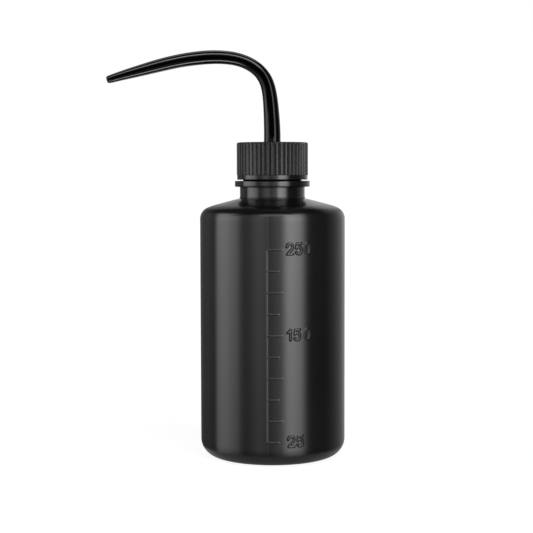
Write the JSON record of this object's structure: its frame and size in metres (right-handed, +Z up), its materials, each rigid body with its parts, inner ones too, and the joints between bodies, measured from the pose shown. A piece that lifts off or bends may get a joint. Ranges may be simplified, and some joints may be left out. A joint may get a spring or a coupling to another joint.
{
  "type": "wash bottle",
  "caption": "Squeezable laboratory wash bottle with a ribbed screw cap, a bent tapering delivery spout, a dip tube and a raised volume scale.",
  "frame": {"origin": "centre of the bottle's foot ring, on the bottle axis, at the height of the surface it stands on", "axes": "+Z up along the bottle axis; the spout points along -X at rest; the raised volume scale is on the -Y side"},
  "size_m": [0.1019, 0.0623, 0.1736],
  "materials": {
    "bottle_satin_black": "satin, blow-moulded black LDPE",
    "cap_matte_black": "matte, injection-moulded black PP",
    "spout_gloss_black": "glossy, injection-moulded black LDPE",
    "tube_natural": "milky natural LDPE",
    "washer_natural": "soft off-white foamed PE"
  },
  "bodies": {
    "bottle": {"bottle": "bottle_satin_black"},
    "closure": {"sealing_washer": "washer_natural"},
    "spout": {"spout": "spout_gloss_black", "dip_tube": "tube_natural"},
    "cap": {"screw_cap": "cap_matte_black"}
  },
  "joints": [
    {"name": "closure_lift", "type": "slide", "parent": "bottle", "child": "closure", "axis": [0, 0, 1], "range_m": [0, 0.00635]},
    {"name": "spout_swivel", "type": "hinge", "parent": "closure", "child": "spout", "pos_m": [0, 0, 0.1312], "axis": [0, 0, 1], "continuous": true},
    {"name": "cap_turn", "type": "hinge", "parent": "closure", "child": "cap", "pos_m": [0, 0, 0.1265], "axis": [0, 0, 1], "range_deg": [0, 540]}
  ],
  "couplings": [
    {"joint": "cap_turn", "follows": "closure_lift", "rad_per_m": 1484.2}
  ]
}
